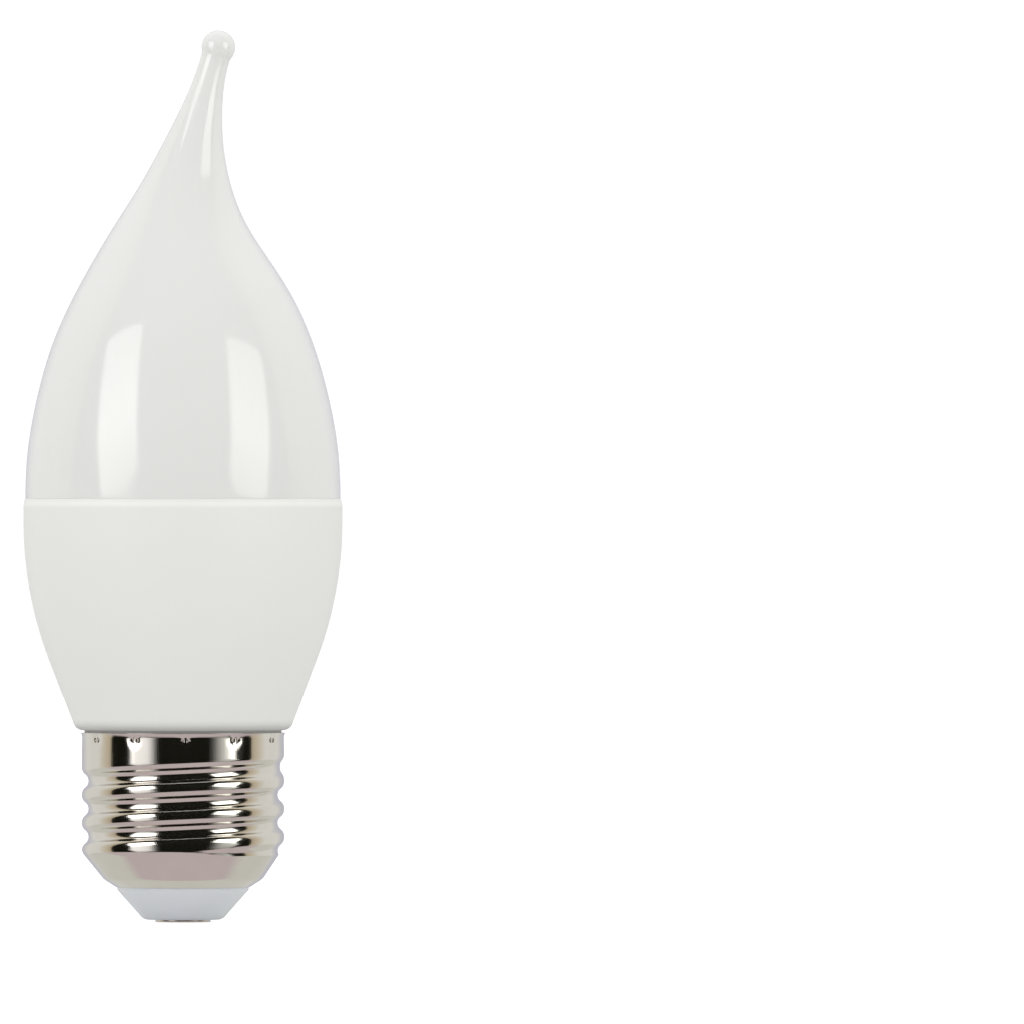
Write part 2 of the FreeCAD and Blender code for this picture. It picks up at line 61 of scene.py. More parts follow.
MM = 0.001
CONTACT_SIDES = 96
CONTACT_HEAD_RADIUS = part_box("centre_contact")[1].x
CONTACT_HEAD_TOP = 0.8 * MM
CONTACT_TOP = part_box("centre_contact")[1].z
CONTACT_EDGE_ROUND = 0.2 * MM
CONTACT_DISH = 0.05 * MM
CONTACT_DISH_SHARE = 0.55
CONTACT_POLE = 0.02 * MM
SHANK_RADIUS = 1.0 * MM
CONTACT_PLATE = (0.60, 0.57, 0.52, 1)
CONTACT_PLATE_WORN = (0.50, 0.46, 0.40, 1)
CONTACT_ROUGHNESS = (0.14, 0.26)
TURNING_SCALE = 900
TURNING_STRETCH = (1, 1, 4)
TURNING_DEPTH = 0.02 * MM
TURNING_STRENGTH = 0.3
MERGE_REACH = 0.001 * MM
SHORTEST_CHORD = 0.2 * MM
WIDEST_ARC_STEP = math.radians(12)
NARROWEST_ARC_STEP = math.radians(1.5)


def arc_points(centre, start, sweep, radius):
    """Points along an arc in the plane of radius and height, finer where the arc is large."""
    step = min(WIDEST_ARC_STEP, max(NARROWEST_ARC_STEP, SHORTEST_CHORD / radius))
    count = math.ceil(abs(sweep) / step)
    angles = [start + sweep * i / count for i in range(count + 1)]
    return [(centre[0] + radius * math.cos(a), centre[1] + radius * math.sin(a)) for a in angles]


def profile(corners):
    """Points along an outline. A corner is (radius, height) or (radius, height, rounding)."""
    points = []
    for i, corner in enumerate(corners):
        here = Vector(corner[:2])
        if len(corner) == 2:
            points.append(tuple(here))
            continue
        back = (Vector(corners[i - 1][:2]) - here).normalized()
        ahead = (Vector(corners[(i + 1) % len(corners)][:2]) - here).normalized()
        half = back.angle(ahead) / 2
        centre = here + (back + ahead).normalized() * (corner[2] / math.sin(half))
        start = here + back * (corner[2] / math.tan(half)) - centre
        end = here + ahead * (corner[2] / math.tan(half)) - centre
        sweep = -start.angle_signed(end)
        points += arc_points(centre, math.atan2(start.y, start.x), sweep, corner[2])
    return points


def skin_rings(name, sides, rings, hollow=False):
    """A skin over rings that are raised one from the other. A ring is (radius, height), or has its place
    beside the axis and its lean too. A hollow skin ends where it began, and any other is closed by discs."""
    rings = [(*ring, 0, 0)[:4] for ring in rings]
    radius, height, aside, lean = rings[0]
    bpy.ops.object.select_all(action="DESELECT")
    bpy.ops.mesh.primitive_circle_add(
        vertices=sides, radius=radius, location=(aside, 0, height), fill_type="NOTHING" if hollow else "NGON"
    )
    piece = bpy.context.object
    piece.name = name
    bpy.ops.object.transform_apply(location=True, rotation=True, scale=True)
    bpy.ops.object.mode_set(mode="EDIT")
    bpy.ops.mesh.select_all(action="SELECT")
    for new_radius, new_height, new_aside, new_lean in rings[1:]:
        step = (new_aside - aside, 0, new_height - height)
        bpy.ops.mesh.extrude_region_move(TRANSFORM_OT_translate={"value": step})
        middle = (new_aside, 0, new_height)
        grown = new_radius / radius
        if grown != 1:
            bpy.ops.transform.resize(value=(grown, grown, grown), center_override=middle)
        if new_lean != lean:
            bpy.ops.transform.rotate(value=lean - new_lean, orient_axis="Y", center_override=middle)
        radius, height, aside, lean = new_radius, new_height, new_aside, new_lean
    bpy.ops.mesh.select_all(action="SELECT")
    bpy.ops.mesh.remove_doubles(threshold=MERGE_REACH)
    bpy.ops.mesh.normals_make_consistent(inside=False)
    bpy.ops.object.mode_set(mode="OBJECT")
    piece.data.name = name
    return piece


def smooth_over(piece, angle=30):
    """Smooth shading with sharp edges where the surface turns by more than an angle."""
    bpy.ops.object.select_all(action="DESELECT")
    piece.select_set(True)
    bpy.context.view_layer.objects.active = piece
    bpy.ops.object.shade_smooth_by_angle(angle=math.radians(angle))


class Signal:
    """An output socket in a node tree. Arithmetic on signals adds Math nodes to the tree."""

    def __init__(self, tree, socket):
        self.tree = tree
        self.socket = socket

    def combined(self, operation, first, second):
        node = self.tree.nodes.new("ShaderNodeMath")
        node.operation = operation
        for slot, value in zip(node.inputs, (first, second)):
            if isinstance(value, Signal):
                self.tree.links.new(value.socket, slot)
            else:
                slot.default_value = value
        return Signal(self.tree, node.outputs[0])

    def __add__(self, other):
        return self.combined("ADD", self, other)

    def __radd__(self, other):
        return self.combined("ADD", other, self)

    def __sub__(self, other):
        return self.combined("SUBTRACT", self, other)

    def __rsub__(self, other):
        return self.combined("SUBTRACT", other, self)

    def __mul__(self, other):
        return self.combined("MULTIPLY", self, other)

    def __rmul__(self, other):
        return self.combined("MULTIPLY", other, self)

    def __abs__(self):
        return self.combined("ABSOLUTE", self, 0)

    def spread(self, low, high):
        """The signal's 0 to 1, spread from a low to a high value."""
        return self * (high - low) + low


class Finish:
    """The surface finish of a piece, as a node tree round one Principled BSDF."""

    def __init__(self, name):
        self.material = bpy.data.materials.new(name)
        self.material.use_nodes = True
        self.tree = self.material.node_tree
        self.tree.nodes.clear()
        self.surface = self.tree.nodes.new("ShaderNodeBsdfPrincipled")
        output = self.tree.nodes.new("ShaderNodeOutputMaterial")
        self.tree.links.new(self.surface.outputs[0], output.inputs["Surface"])

    def node(self, kind, settings=None, result=0, **sockets):
        """Add a node: its settings first, then the values or links of its sockets. A socket is given by its
        name, or by an underscore and its number. Returns one output."""
        node = self.tree.nodes.new(kind)
        for name, value in (settings or {}).items():
            if name == "stops":
                self.set_stops(node.color_ramp, value)
            else:
                setattr(node, name, value)
        for name, value in sockets.items():
            self.feed(node.inputs[int(name[1:]) if name[0] == "_" else name.replace("_", " ")], value)
        return Signal(self.tree, node.outputs[result])

    def set_stops(self, ramp, stops):
        """Give a colour ramp its stops, each (place, colour)."""
        while len(ramp.elements) < len(stops):
            ramp.elements.new(1)
        for element, (place, colour) in zip(ramp.elements, stops):
            element.position = place
            element.color = colour

    def feed(self, slot, value):
        """Link a signal to a socket, or set the socket's own value."""
        if isinstance(value, Signal):
            self.tree.links.new(value.socket, slot)
        else:
            slot.default_value = value

    def coat(self, piece, **sockets):
        """Set the surface's sockets and put the finish on a piece."""
        for name, value in sockets.items():
            self.feed(self.surface.inputs[name.replace("_", " ")], value)
        piece.data.materials.clear()
        piece.data.materials.append(self.material)

    def noise(self, scale, detail=2, stretch=(1, 1, 1)):
        """Noise on the piece's own coordinates, in turns for each metre, from 0 to 1."""
        place = self.node("ShaderNodeTexCoord", result="Object")
        spread = self.node("ShaderNodeMapping", Vector=place, Scale=[scale * s for s in stretch])
        return self.node("ShaderNodeTexNoise", Vector=spread, Scale=1, Detail=detail)

    def mixed(self, share, first, second):
        """A colour between two others."""
        settings = {"data_type": "RGBA"}
        return self.node("ShaderNodeMix", settings, result=2, Factor=share, _6=first, _7=second)

    def bumped(self, height, distance, strength):
        """A normal from a height of 0 to 1 that stands for a distance."""
        return self.node("ShaderNodeBump", Height=height, Distance=distance, Strength=strength)

    def rise(self, value, start, end, kind="SMOOTHSTEP"):
        """A rise from 0 to 1 as a value goes from start to end. Its ends are gentle, unless it is LINEAR."""
        settings = {"interpolation_type": kind}
        return self.node("ShaderNodeMapRange", settings, _0=value, _1=start, _2=end, _3=0.0, _4=1.0)


contact_outline = [
    (CONTACT_POLE, CONTACT_DISH),
    (CONTACT_HEAD_RADIUS * CONTACT_DISH_SHARE, 0),
    (CONTACT_HEAD_RADIUS, 0, CONTACT_EDGE_ROUND),
    (CONTACT_HEAD_RADIUS, CONTACT_HEAD_TOP),
    (SHANK_RADIUS, CONTACT_HEAD_TOP),
    (SHANK_RADIUS, CONTACT_TOP),
]
contact_pin = skin_rings("contact_pin", CONTACT_SIDES, profile(contact_outline))
smooth_over(contact_pin)
plated_brass = Finish("plated_brass")
turning_marks = plated_brass.noise(TURNING_SCALE, stretch=TURNING_STRETCH)
plated_brass.coat(
    contact_pin,
    Base_Color=plated_brass.mixed(turning_marks, CONTACT_PLATE, CONTACT_PLATE_WORN),
    Metallic=1,
    Roughness=turning_marks.spread(*CONTACT_ROUGHNESS),
    Normal=plated_brass.bumped(turning_marks, TURNING_DEPTH, TURNING_STRENGTH),
)
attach(contact_pin, "root")
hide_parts("centre_contact")

# The insulator is a plug of pale grey thermoset, moulded to line the shell's shoulder and fill its mouth.
# It holds the contact in the middle of its rounded end and keeps it clear of the shell.

PLUG_SIDES = 160
PLUG_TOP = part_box("base_insulator")[1].z
PLUG_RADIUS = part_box("base_insulator")[1].x
PLUG_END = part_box("base_insulator")[0].z
FIT_GAP = 0.05 * MM
SHEET = 0.3 * MM
SHELL_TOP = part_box("screw_shell")[1].z
SHELL_MOUTH_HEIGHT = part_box("screw_shell")[0].z
BAND_RADIUS = 13.15 * MM
SHOULDER_IN = 2.85 * MM
SHOULDER_DROP = 3.5 * MM
TURN_IN = 1.7 * MM
TURN_DROP = 1.1 * MM
TURN_ROUND = 2.0 * MM
NOSE_LAND = 1.5 * MM
NOSE_DROP = 0.27 * MM
NOSE_ROUND = 1.3 * MM
SHOULDER_LEAN = math.atan2(SHOULDER_IN, SHOULDER_DROP)
LIP_LEAN = math.atan2(TURN_DROP, TURN_IN)
TURN_RADIUS = BAND_RADIUS - SHOULDER_IN
MOUTH_RADIUS = TURN_RADIUS - TURN_IN
SHOULDER_HEIGHT = SHELL_MOUTH_HEIGHT + TURN_DROP + SHOULDER_DROP
THERMOSET = (0.80, 0.83, 0.88, 1)
THERMOSET_DEEP = (0.785, 0.81, 0.855, 1)
THERMOSET_ROUGHNESS = (0.3, 0.4)
MOULDING_CLOUD_SCALE = 220
MOULDING_GRAIN_SCALE = 5200
MOULDING_GRAIN_DEPTH = 0.01 * MM
MOULDING_GRAIN_STRENGTH = 0.25


def inside_turn(depth):
    """The corner between shoulder and turned-in lip, moved this deep into the shell."""
    spread = 1 + math.sin(SHOULDER_LEAN + LIP_LEAN)
    inwards = (math.cos(SHOULDER_LEAN) + math.sin(LIP_LEAN)) / spread
    upwards = (math.sin(SHOULDER_LEAN) + math.cos(LIP_LEAN)) / spread
    return TURN_RADIUS - depth * inwards, SHELL_MOUTH_HEIGHT + TURN_DROP + depth * upwards


def inside_shoulder(depth, radius):
    """The height of the shoulder's slope, moved this deep into the shell, at a radius."""
    foot = BAND_RADIUS - depth / math.cos(SHOULDER_LEAN)
    return SHOULDER_HEIGHT - (foot - radius) / math.tan(SHOULDER_LEAN)


def inside_lip(depth, radius):
    """The height of the turned-in lip, moved this deep into the shell, at a radius."""
    rise = (radius - MOUTH_RADIUS) * math.tan(LIP_LEAN)
    return SHELL_MOUTH_HEIGHT + rise + depth / math.cos(LIP_LEAN)


lining = SHEET + FIT_GAP
throat = MOUTH_RADIUS - FIT_GAP
plug_outline = [
    (SHANK_RADIUS + FIT_GAP, PLUG_TOP),
    (SHANK_RADIUS + FIT_GAP, CONTACT_HEAD_TOP),
    (CONTACT_HEAD_RADIUS + FIT_GAP, CONTACT_HEAD_TOP),
    (CONTACT_HEAD_RADIUS + FIT_GAP, PLUG_END),
    (CONTACT_HEAD_RADIUS + NOSE_LAND, PLUG_END, NOSE_ROUND),
    (throat, SHELL_MOUTH_HEIGHT - NOSE_DROP),
    (throat, inside_lip(lining, throat)),
    (*inside_turn(lining), TURN_ROUND - lining),
    (PLUG_RADIUS, inside_shoulder(lining, PLUG_RADIUS)),
    (PLUG_RADIUS, PLUG_TOP),
]
plug_rings = profile(plug_outline)
base_plug = skin_rings("base_plug", PLUG_SIDES, plug_rings + plug_rings[:1], hollow=True)
smooth_over(base_plug)
thermoset = Finish("thermoset")
moulding_cloud = thermoset.noise(MOULDING_CLOUD_SCALE, detail=3)
moulding_grain = thermoset.noise(MOULDING_GRAIN_SCALE)
thermoset.coat(
    base_plug,
    Base_Color=thermoset.mixed(moulding_cloud, THERMOSET, THERMOSET_DEEP),
    Roughness=moulding_cloud.spread(*THERMOSET_ROUGHNESS),
    Normal=thermoset.bumped(moulding_grain, MOULDING_GRAIN_DEPTH, MOULDING_GRAIN_STRENGTH),
)
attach(base_plug, "root")
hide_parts("base_insulator")

# The screw shell is a cup of thin nickel-plated sheet. Its shoulder is drawn, its thread is rolled in, and
# its upper edge stands out a little over pairs of small crimps that hold it on the housing's neck.

SHELL_COLUMNS = 360
SHELL_ROWS = 150
WALL_MARGIN = 0.05 * MM
NEAR = 0.01 * MM
THREAD_PITCH = 3.629 * MM
THREAD_DEPTH = 0.85 * MM
THREAD_LAND = 0.25 * MM
THREAD_SWEEP = math.radians(1280)
THREAD_FINISH = math.radians(90)
THREAD_DROP = 3.556 * MM
FADE_IN = math.radians(120)
FADE_OUT = math.radians(150)
SHOULDER_ROUND = 1.2 * MM
MOUTH_ROUND = 0.08 * MM
EDGE_REACH = 0.15 * MM
EDGE_HEIGHT = 0.5 * MM
EDGE_LAND = 0.03 * MM
EDGE_ROUND = 0.015 * MM
BAND_INSIDE = 1.6 * MM
CRIMP_PAIRS = 12
CRIMP_TURN = math.radians(-88.5)
CRIMP_SPACING = 0.72 * MM
CRIMP_DROP = 0.4 * MM
CRIMP_WIDTH = 0.46 * MM
CRIMP_HEIGHT = 0.85 * MM
CRIMP_DEPTH = 0.22 * MM
CRIMP_SLOPE = 0.8
CRIMP_FLAT = 0.4
DENT_DROP = 0.86 * MM
DENT_DEPTH = 0.07 * MM
DENT_REACH = 1.5 * MM
CRIMP_CROWDING = 0.72
NICKEL = (0.70, 0.675, 0.64, 1)
NICKEL_DEEP = (0.64, 0.61, 0.575, 1)
NICKEL_ROUGHNESS = (0.07, 0.12)
PLATE_CLOUD_SCALE = 350
DRAWING_SCALE = 8000
DRAWING_STRETCH = (1, 1, 0.03)
DRAWING_DEPTH = 0.003 * MM
DRAWING_STRENGTH = 1.0


def eased(share):
    """A rise from 0 to 1 that starts and ends gently."""
    share = min(1.0, max(0.0, share))
    return share * share * (3 - 2 * share)


def groove_depth(turned, height):
    """How deep the rolled groove is at an angle round the axis and a height."""
    half = (THREAD_PITCH - THREAD_LAND) / 2
    curve = (half * half + THREAD_DEPTH * THREAD_DEPTH) / (4 * THREAD_DEPTH)
    upper_end = SHELL_TOP - THREAD_DROP
    here = THREAD_FINISH + (height - upper_end) / THREAD_PITCH * math.tau
    total = turned + math.tau * round((here - turned) / math.tau)
    swept = THREAD_SWEEP - (THREAD_FINISH - total)
    away = abs(height - upper_end + THREAD_PITCH * (THREAD_FINISH - total) / math.tau)
    if not 0 < swept < THREAD_SWEEP or away > half:
        return 0.0
    fade = min(eased(swept / FADE_IN), eased((THREAD_SWEEP - swept) / FADE_OUT))
    if away < half / 2:
        return fade * (THREAD_DEPTH - curve + math.sqrt(curve**2 - away**2))
    return fade * (curve - math.sqrt(curve**2 - (half - away) ** 2))


def crimp_depth(turned, height):
    """How deep the pairs of crimps are at an angle round the axis and a height. Each deepens downwards."""
    period = math.tau / CRIMP_PAIRS
    off = (turned - CRIMP_TURN + period / 2) % period - period / 2
    across = abs(abs(off) * BAND_RADIUS - CRIMP_SPACING / 2)
    along = (SHELL_TOP - CRIMP_DROP - height) / CRIMP_HEIGHT
    wide = 1 - eased(across / (CRIMP_WIDTH / 2) * (1 + CRIMP_FLAT) - CRIMP_FLAT)
    tall = max(0.0, min(along / CRIMP_SLOPE, (1 - along) / (1 - CRIMP_SLOPE)))
    up = height - (SHELL_TOP - DENT_DROP)
    dent = 1 - eased(math.hypot(off * BAND_RADIUS, up) / DENT_REACH)
    return CRIMP_DEPTH * wide * tall + DENT_DEPTH * dent


wall_foot = (BAND_RADIUS, SHOULDER_HEIGHT + SHOULDER_ROUND * math.tan(SHOULDER_LEAN / 2) + WALL_MARGIN)
wall_head = (BAND_RADIUS, SHELL_TOP - EDGE_HEIGHT)
root_bore = BAND_RADIUS - THREAD_DEPTH - SHEET
shell_outline = [
    (MOUTH_RADIUS, SHELL_MOUTH_HEIGHT, MOUTH_ROUND),
    (TURN_RADIUS, SHELL_MOUTH_HEIGHT + TURN_DROP, TURN_ROUND),
    (BAND_RADIUS, SHOULDER_HEIGHT, SHOULDER_ROUND),
    wall_foot,
    wall_head,
    (BAND_RADIUS + EDGE_REACH, SHELL_TOP - EDGE_LAND, EDGE_ROUND),
    (BAND_RADIUS + EDGE_REACH, SHELL_TOP, EDGE_ROUND),
    (BAND_RADIUS - SHEET, SHELL_TOP),
    (BAND_RADIUS - SHEET, SHELL_TOP - BAND_INSIDE),
    (root_bore, SHELL_TOP - BAND_INSIDE - THREAD_DEPTH),
    (root_bore, inside_shoulder(SHEET, root_bore)),
    (*inside_turn(SHEET), TURN_ROUND - SHEET),
    (MOUTH_RADIUS, inside_lip(SHEET, MOUTH_RADIUS)),
]
shell_rings = profile(shell_outline)
threaded_shell = skin_rings("threaded_shell", SHELL_COLUMNS, shell_rings + shell_rings[:1], hollow=True)

bpy.ops.object.mode_set(mode="EDIT")
bpy.ops.mesh.select_all(action="DESELECT")
bpy.ops.object.mode_set(mode="OBJECT")
bpy.context.tool_settings.mesh_select_mode = (False, True, False)
for edge in threaded_shell.data.edges:
    lower, upper = sorted((threaded_shell.data.vertices[i].co for i in edge.vertices), key=lambda co: co.z)
    outside = min(lower.xy.length, upper.xy.length) > BAND_RADIUS - NEAR
    edge.select = outside and lower.z < wall_foot[1] + NEAR and upper.z > wall_head[1] - NEAR
bpy.ops.object.mode_set(mode="EDIT")
bpy.ops.mesh.subdivide(number_cuts=SHELL_ROWS)
bpy.ops.object.mode_set(mode="OBJECT")

# The skin's columns crowd together at the crimps, and its outer wall goes in to the groove and the crimps.
for vertex in threaded_shell.data.vertices:
    radius = vertex.co.xy.length
    turned = math.atan2(vertex.co.y, vertex.co.x)
    turned -= CRIMP_CROWDING * math.sin(CRIMP_PAIRS * (turned - CRIMP_TURN)) / CRIMP_PAIRS
    if radius > root_bore + SHEET / 2:
        rolled = BAND_RADIUS - groove_depth(turned, vertex.co.z)
        inside = vertex.co.z > SHELL_TOP - BAND_INSIDE - THREAD_DEPTH and radius < BAND_RADIUS - SHEET / 2
        if rolled < radius and not inside and vertex.co.z < wall_head[1]:
            radius = rolled
        radius -= crimp_depth(turned, vertex.co.z)
    vertex.co.x = radius * math.cos(turned)
    vertex.co.y = radius * math.sin(turned)
threaded_shell.data.update()
smooth_over(threaded_shell)

nickel = Finish("nickel")
drawing_marks = nickel.noise(DRAWING_SCALE, detail=1, stretch=DRAWING_STRETCH)
plate_cloud = nickel.noise(PLATE_CLOUD_SCALE, detail=3)
nickel.coat(
    threaded_shell,
    Base_Color=nickel.mixed(plate_cloud, NICKEL, NICKEL_DEEP),
    Metallic=1,
    Roughness=plate_cloud.spread(*NICKEL_ROUGHNESS),
    Normal=nickel.bumped(drawing_marks, DRAWING_DEPTH, DRAWING_STRENGTH),
)
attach(threaded_shell, "root")
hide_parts("screw_shell")

# The housing is a cup of white plastic, moulded with a fine matt grain. Its neck fills the screw shell, its
# cone and its curved side carry on the flame's line, and its rim takes the diffuser's spigot. A painted
# highlight makes the rim's rounding paler than the rest, and painted shade darkens the foot's edge.

HOUSING_SIDES = 256
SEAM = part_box("housing")[1].z
RIM_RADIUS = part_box("housing")[1].x
RIM_ROUND_IN = 0.24 * MM
RIM_ROUND_DOWN = 1.1 * MM
RIM_STEPS = 14
RIM_TURN = math.radians(65)
RIM_WALL = 1.5 * MM
SPIGOT_LENGTH = 3.0 * MM
HIP_DROP = 12.33 * MM
FLANK_REACH = 9.27 * MM
FOOT_OVERHANG = 0.75 * MM
FOOT_GAP = 0.28 * MM
FOOT_ROUND = 1.4 * MM
MATT_WHITE = (0.83, 0.832, 0.81, 1)
MATT_WHITE_DEEP = (0.815, 0.817, 0.797, 1)
MATT_ROUGHNESS = (0.46, 0.60)
TONE_CLOUD_SCALE = 45
SPARK_GRAIN_SCALE = 2600
SPARK_GRAIN_DEPTH = 0.02 * MM
SPARK_GRAIN_STRENGTH = 0.3
# Painted highlight: this paler colour along the rim's rounding stands in for the light it catches from above.
RIM_PAINTED_HIGHLIGHT = (0.90, 0.90, 0.875, 1)
RIM_LINE_DROP = 0.66 * MM
RIM_LINE_REACH = 0.65 * MM
# Painted shade: this darker colour at the foot's edge stands in for the shade under the foot's overhang.
FOOT_PAINTED_SHADE = (0.54, 0.54, 0.53, 1)
FOOT_SHADE_REACH = 1.6 * MM

foot_radius = BAND_RADIUS + FOOT_OVERHANG
foot_height = SHELL_TOP + FOOT_GAP
hip = SEAM - HIP_DROP
cone_lean = math.atan2(RIM_RADIUS - foot_radius, hip - foot_height)
recess_radius = RIM_RADIUS - RIM_WALL
recess_floor = SEAM - SPIGOT_LENGTH - FIT_GAP
rim_curve = []
for i in range(RIM_STEPS + 1):
    turned = RIM_TURN * i / RIM_STEPS
    inwards = RIM_ROUND_IN * (1 - math.cos(turned)) / (1 - math.cos(RIM_TURN))
    downwards = RIM_ROUND_DOWN * (1 - math.sin(turned) / math.sin(RIM_TURN))
    rim_curve.append((RIM_RADIUS - inwards, SEAM - downwards))
housing_outline = [
    (root_bore - FIT_GAP, PLUG_TOP),
    (root_bore - FIT_GAP, SHELL_TOP - BAND_INSIDE - THREAD_DEPTH),
    (BAND_RADIUS - SHEET - FIT_GAP, SHELL_TOP - BAND_INSIDE),
    (BAND_RADIUS - SHEET - FIT_GAP, foot_height),
    (foot_radius, foot_height, FOOT_ROUND),
    (RIM_RADIUS, hip, FLANK_REACH / math.tan(cone_lean / 2)),
    *rim_curve,
    (recess_radius, SEAM),
    (recess_radius, recess_floor),
]
bulb_housing = skin_rings("bulb_housing", HOUSING_SIDES, profile(housing_outline))
smooth_over(bulb_housing)
matt_plastic = Finish("matt_plastic")
tone_cloud = matt_plastic.noise(TONE_CLOUD_SCALE)
spark_grain = matt_plastic.noise(SPARK_GRAIN_SCALE, detail=4)
on_housing = matt_plastic.node("ShaderNodeTexCoord", result="Object")
housing_height = matt_plastic.node("ShaderNodeSeparateXYZ", result=2, Vector=on_housing)
# Painted highlight: a band round the rim's rounding, where the paler colour is mixed in.
off_rim_line = abs(housing_height - (SEAM - RIM_LINE_DROP))
rim_highlight_share = 1 - matt_plastic.rise(off_rim_line, 0.0, RIM_LINE_REACH)
# Painted shade: a band just above the foot, darkest at the foot's edge.
foot_shade_share = 1 - matt_plastic.rise(housing_height, foot_height, foot_height + FOOT_SHADE_REACH)
cloudy_white = matt_plastic.mixed(tone_cloud, MATT_WHITE, MATT_WHITE_DEEP)
foot_shaded_white = matt_plastic.mixed(foot_shade_share, cloudy_white, FOOT_PAINTED_SHADE)
matt_plastic.coat(
    bulb_housing,
    Base_Color=matt_plastic.mixed(rim_highlight_share, foot_shaded_white, RIM_PAINTED_HIGHLIGHT),
    Roughness=spark_grain.spread(*MATT_ROUGHNESS),
    Normal=matt_plastic.bumped(spark_grain, SPARK_GRAIN_DEPTH, SPARK_GRAIN_STRENGTH),
)
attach(bulb_housing, "root")
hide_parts("housing")

# The diffuser is a flame of milky plastic with a high gloss. It is drawn out to a bent tip, which ends in
# the small ball of its sprue, and its spigot is glued into the housing's rim.

FLAME_SIDES = 224
SEAM_STEP = 0.25 * MM
SKIRT_ROUND = 0.04 * MM
SPIGOT_LEAD = 0.5 * MM
FOOT_SECTION_RADIUS = RIM_RADIUS - SEAM_STEP
# Sections of the flame above the seam: height, radius, place beside the axis and lean in degrees.
FLAME_SECTIONS = [
    (0.0, FOOT_SECTION_RADIUS / MM, 0.0, 0.0),
    (6.0, 20.19, 0.0, 0.0),
    (13.0, 18.98, 0.0, 0.0),
    (20.0, 16.97, 0.0, 0.0),
    (27.0, 13.77, -0.03, 0.0),
    (33.0, 10.12, -0.3, 0.0),
    (39.0, 6.65, 0.42, 6.5),
    (45.0, 4.2, 1.35, 11.5),
    (51.0, 2.55, 2.63, 15.0),
    (56.7, 1.87, 4.06, 15.6),
]
FLAME_STEP = 0.75
BALL_BULGE = 0.31 * MM
BALL_REACH = 1.98 * MM
BALL_BLEND = 1.2 * MM
BALL_POLE_SHARE = 0.005
GLOSS_WHITE = (0.795, 0.795, 0.785, 1)
GLOSS_WHITE_DEEP = (0.785, 0.785, 0.775, 1)
GLOSS_ROUGHNESS = (0.065, 0.095)
MILK_CLOUD_SCALE = 60
FLOW_MARKS_SCALE = 110
FLOW_MARKS_DEPTH = 0.03 * MM
FLOW_MARKS_STRENGTH = 0.1


def spline_through(places, values, first_slope, last_slope):
    """A smooth curve through values at places, with a given slope at each end, as a function."""
    count = len(places)
    widths = [places[i + 1] - places[i] for i in range(count - 1)]
    slopes = [(values[i + 1] - values[i]) / widths[i] for i in range(count - 1)]
    diagonal, right = [2 * widths[0]], [6 * (slopes[0] - first_slope)]
    for i in range(1, count):
        share = widths[i - 1] / diagonal[i - 1]
        last = i == count - 1
        diagonal.append(2 * (widths[i - 1] + (0 if last else widths[i])) - share * widths[i - 1])
        right.append(6 * ((last_slope if last else slopes[i]) - slopes[i - 1]) - share * right[i - 1])
    bends = [0.0] * count
    for i in reversed(range(count)):
        beyond = widths[i] * bends[i + 1] if i < count - 1 else 0
        bends[i] = (right[i] - beyond) / diagonal[i]

    def curve(place):
        i = max(k for k in range(count - 1) if k == 0 or places[k] <= place)
        ahead, back, width = places[i + 1] - place, place - places[i], widths[i]
        bent = (bends[i] * ahead**3 + bends[i + 1] * back**3) / (6 * width)
        before = (values[i] / width - bends[i] * width / 6) * ahead
        return bent + before + (values[i + 1] / width - bends[i + 1] * width / 6) * back

    return curve


rises, radii, asides, leans = zip(*FLAME_SECTIONS)
neck_lean = math.radians(leans[-1])
flame_radius = spline_through(rises, radii, 0, 0)
flame_aside = spline_through(rises, asides, 0, math.tan(neck_lean))
flame_lean = spline_through(rises, leans, 0, 0)
spigot_radius = recess_radius - FIT_GAP
skirt_outline = [
    (spigot_radius - SPIGOT_LEAD, SEAM - SPIGOT_LENGTH),
    (spigot_radius, SEAM - SPIGOT_LENGTH + SPIGOT_LEAD),
    (spigot_radius, SEAM),
    (FOOT_SECTION_RADIUS, SEAM, SKIRT_ROUND),
    (flame_radius(FLAME_STEP) * MM, SEAM + FLAME_STEP * MM),
]
flame_rings = profile(skirt_outline)
for i in range(2, round(rises[-1] / FLAME_STEP)):
    rise = i * FLAME_STEP
    ring = (flame_radius(rise), SEAM / MM + rise, flame_aside(rise))
    flame_rings.append((*[length * MM for length in ring], math.radians(flame_lean(rise))))

neck_radius = radii[-1] * MM
ball_radius = neck_radius + BALL_BULGE
blend_height = BALL_REACH - math.sqrt((ball_radius + BALL_BLEND) ** 2 - (neck_radius + BALL_BLEND) ** 2)
touch_lean = math.asin((BALL_REACH - blend_height) / (ball_radius + BALL_BLEND))
blend = arc_points((neck_radius + BALL_BLEND, blend_height), math.pi, -touch_lean, BALL_BLEND)
ball = arc_points((0, BALL_REACH), -touch_lean, math.pi / 2 + touch_lean, ball_radius)
ball_pole = (ball_radius * BALL_POLE_SHARE, BALL_REACH + ball_radius)
for radius, along in [(neck_radius, 0), *blend, *ball[1:-1], ball_pole]:
    height = SEAM + rises[-1] * MM + along * math.cos(neck_lean)
    aside = asides[-1] * MM + along * math.sin(neck_lean)
    flame_rings.append((radius, height, aside, neck_lean))

candle_diffuser = skin_rings("candle_diffuser", FLAME_SIDES, flame_rings)
smooth_over(candle_diffuser)
milky_plastic = Finish("milky_plastic")
milk_cloud = milky_plastic.noise(MILK_CLOUD_SCALE)
flow_marks = milky_plastic.noise(FLOW_MARKS_SCALE)
milky_plastic.coat(
    candle_diffuser,
    Base_Color=milky_plastic.mixed(milk_cloud, GLOSS_WHITE, GLOSS_WHITE_DEEP),
    Roughness=flow_marks.spread(*GLOSS_ROUGHNESS),
    Normal=milky_plastic.bumped(flow_marks, FLOW_MARKS_DEPTH, FLOW_MARKS_STRENGTH),
)
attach(candle_diffuser, "root")
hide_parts("diffuser")

